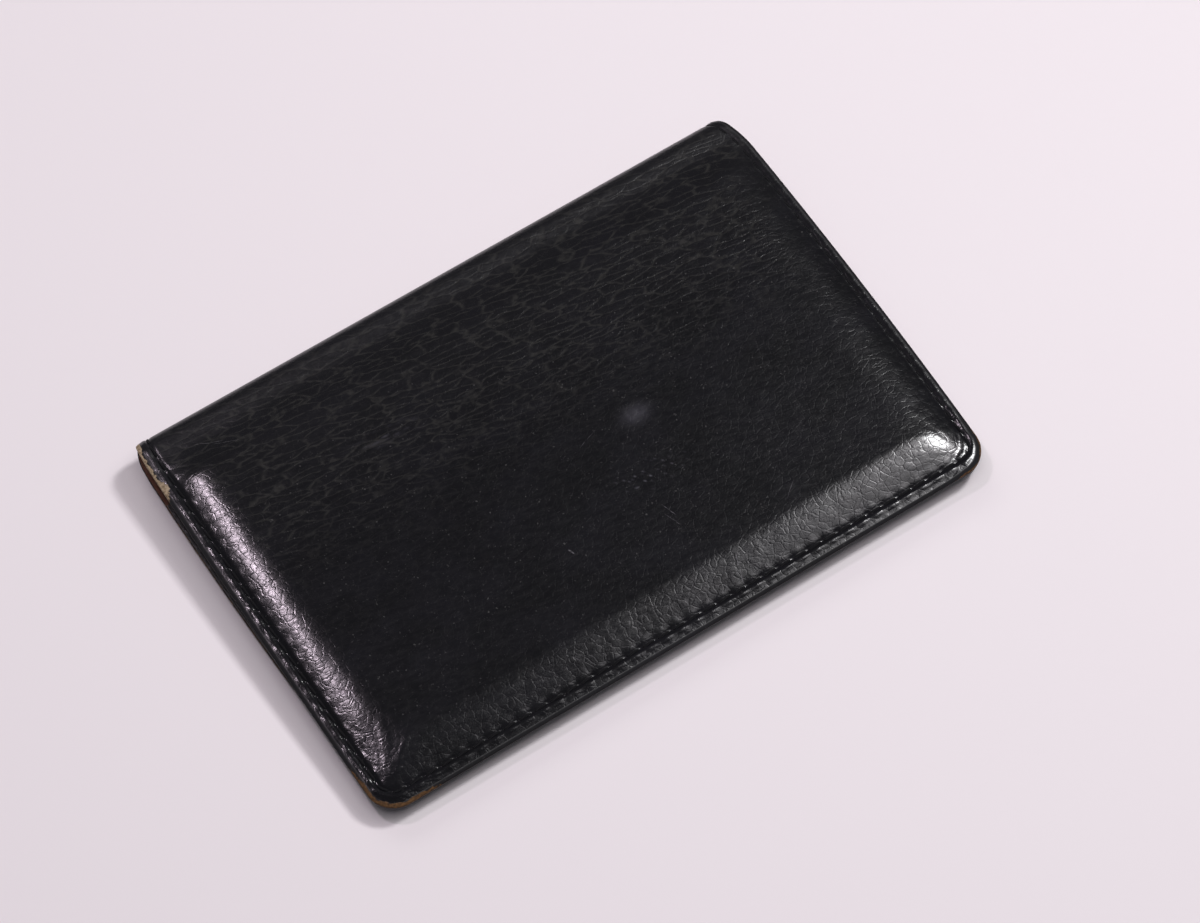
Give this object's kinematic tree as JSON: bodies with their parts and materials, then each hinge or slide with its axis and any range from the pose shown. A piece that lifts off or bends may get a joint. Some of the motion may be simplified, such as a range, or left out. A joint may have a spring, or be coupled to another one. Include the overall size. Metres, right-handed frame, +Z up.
{
  "type": "card holder",
  "caption": "Folding leather card holder with padded covers, stitched on three sides, a soft spine and a card pocket inside each cover.",
  "frame": {"origin": "on the resting surface, under the middle of the closed card holder", "axes": "+X along the spine, +Y from the open fore-edge to the spine, +Z up through both covers"},
  "size_m": [0.1076, 0.0719, 0.0073],
  "materials": {
    "outer_leather": "worn pebbled grain, semi-gloss, raw tan edges",
    "pad": "matt felted foam",
    "lining": "matt rust brown, worn",
    "pocket_leather": "smooth fine grain, satin",
    "thread": "waxed twisted polyester"
  },
  "bodies": {
    "back": {"back_cover_leather": "outer_leather", "back_pad": "pad", "back_lining": "lining", "back_pocket_panel": "pocket_leather", "back_outer_thread": "thread", "back_inner_thread": "thread"},
    "spine": {"spine_leather": "outer_leather", "spine_lining": "lining", "spine_thread_left": "thread", "spine_thread_right": "thread"},
    "front": {"front_cover_leather": "outer_leather", "front_pad": "pad", "front_lining": "lining", "front_pocket_panel": "pocket_leather", "front_outer_thread": "thread", "front_inner_thread": "thread"}
  },
  "joints": [
    {"name": "spine_fold", "type": "hinge", "parent": "back", "child": "spine", "pos_m": [0, 0.0352, 0.002], "axis": [-1, 0, 0], "range_deg": [0, 90], "deforming": ["spine_leather", "spine_lining", "spine_thread_left", "spine_thread_right"]},
    {"name": "front_fold", "type": "hinge", "parent": "spine", "child": "front", "pos_m": [0, 0.0352, 0.00589], "axis": [-1, 0, 0], "range_deg": [0, 92.4], "deforming": ["spine_leather", "spine_lining", "spine_thread_left", "spine_thread_right"]}
  ],
  "couplings": [
    {"joint": "front_fold", "follows": "spine_fold", "ratio": 1.0266}
  ]
}
